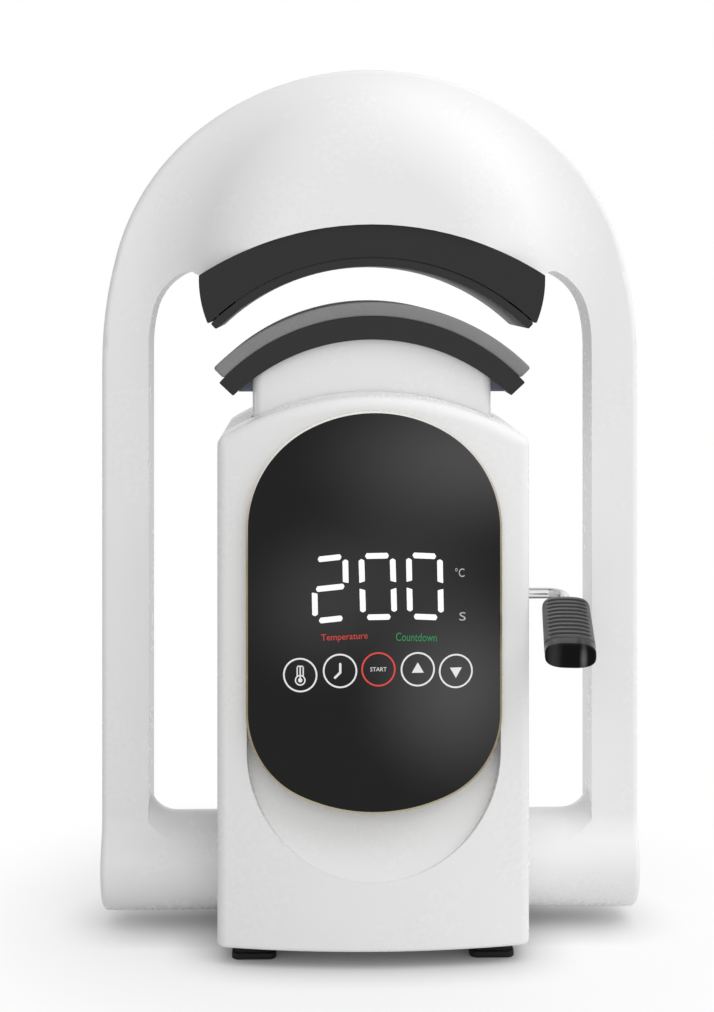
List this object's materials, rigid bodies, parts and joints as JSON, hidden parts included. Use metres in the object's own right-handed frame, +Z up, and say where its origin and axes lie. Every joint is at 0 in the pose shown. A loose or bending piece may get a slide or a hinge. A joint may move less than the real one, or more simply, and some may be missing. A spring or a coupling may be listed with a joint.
{
  "type": "cap heat press",
  "caption": "Tabletop cap press: inverted-U arch with heated curved platen tilts over a lever-raised lower platen on a white body with a touch panel.",
  "frame": {"origin": "on the table, under the arch's pivot axis and the platens' middle", "axes": "+X to the lever's side, -Y to the touch panel, +Z up"},
  "size_m": [0.287, 0.1921, 0.459],
  "materials": {
    "white_gloss": "high-gloss white ABS",
    "zinc_screw": "zinc-plated",
    "plate_steel": "plated steel",
    "foot_rubber": "matt black",
    "bronze": "sintered bronze",
    "cast_aluminium": "machined",
    "saddle_paint": "blue-grey powder coat on cast aluminium",
    "panel_glass": "black back-printed, gloss",
    "gold_rim": "champagne gold, satin",
    "circuit_board": "solder-masked",
    "led_module": "dark diffuser",
    "switch_black": "moulded black",
    "bright_pin": "ground and plated",
    "washer_white": "acetal",
    "cover_black": "satin black heat-resistant plastic",
    "platen_coat": "non-stick dark coat",
    "element_foil": "polyimide film",
    "ceramic_fibre": "fibre felt",
    "sensor_brass": "plain",
    "pad_silicone": "grey silicone foam",
    "spring_steel": "spring steel",
    "cam_steel": "hardened",
    "rod_chrome": "bright chrome",
    "grip_grey": "soft-touch dark grey",
    "cap_black": "piano black"
  },
  "bodies": {
    "base": {"front_housing": "white_gloss", "rear_housing": "white_gloss", "housing_screws": "zinc_screw", "base_plate": "plate_steel", "rubber_feet": "foot_rubber", "foot_screws": "zinc_screw", "side_frames": "plate_steel", "pivot_bushes": "bronze", "lever_bushes": "bronze", "guide_bridge": "cast_aluminium", "bridge_screws": "zinc_screw", "column_bush": "bronze", "rod_bushes": "bronze", "control_glass": "panel_glass", "glass_rim": "gold_rim", "display_board": "circuit_board", "led_display": "led_module", "power_board": "circuit_board", "inlet_socket": "switch_black", "inlet_pins": "bright_pin", "switch_bezel": "switch_black"},
    "arch": {"arch_front_shell": "white_gloss", "arch_rear_shell": "white_gloss", "arch_spine": "plate_steel", "hub_blocks": "plate_steel", "pivot_shaft": "bright_pin", "hub_washers": "washer_white", "arch_screws": "zinc_screw", "upper_cover": "cover_black", "heater_plate": "platen_coat", "heating_element": "element_foil", "insulation_pad": "ceramic_fibre", "thermal_cutout": "sensor_brass", "temperature_probe": "sensor_brass", "heater_standoffs": "sensor_brass", "hanger_bars": "plate_steel", "hanger_nuts": "zinc_screw"},
    "ram": {"lower_plate": "platen_coat", "silicone_pad": "pad_silicone", "saddle_bracket": "saddle_paint", "platen_screws": "zinc_screw", "neck_cover": "white_gloss", "neck_screws": "zinc_screw", "ram_column": "bright_pin", "ram_screws": "zinc_screw", "cam_roller": "bright_pin", "roller_pin": "bright_pin", "rod_plate": "plate_steel", "guide_rods": "bright_pin", "spring_washers": "plate_steel", "return_springs": "spring_steel"},
    "lever": {"lever_shaft": "bright_pin", "retaining_rings": "spring_steel", "lever_cam": "cam_steel", "cam_set_screw": "zinc_screw", "lever_rod": "rod_chrome", "grip_sleeve": "grip_grey", "grip_end_cap": "cap_black"},
    "rocker": {"power_rocker": "switch_black", "rocker_pin": "bright_pin"}
  },
  "joints": [
    {"name": "arch_tilt", "type": "hinge", "parent": "base", "child": "arch", "pos_m": [0, 0, 0.033], "axis": [-1, 0, 0], "range_deg": [0, 35]},
    {"name": "ram_lift", "type": "slide", "parent": "base", "child": "ram", "axis": [0, 0, 1], "range_m": [0, 0.0182], "deforming": ["return_springs"]},
    {"name": "lever_turn", "type": "hinge", "parent": "base", "child": "lever", "pos_m": [0, 0, 0.1764], "axis": [1, 0, 0], "range_deg": [0, 70]},
    {"name": "rocker_tilt", "type": "hinge", "parent": "base", "child": "rocker", "pos_m": [0.032, 0.0704, 0.04], "axis": [0, 0, 1], "range_deg": [-16, 0]}
  ],
  "couplings": [
    {"joint": "lever_turn", "follows": "ram_lift", "rad_per_m": 67.128}
  ]
}
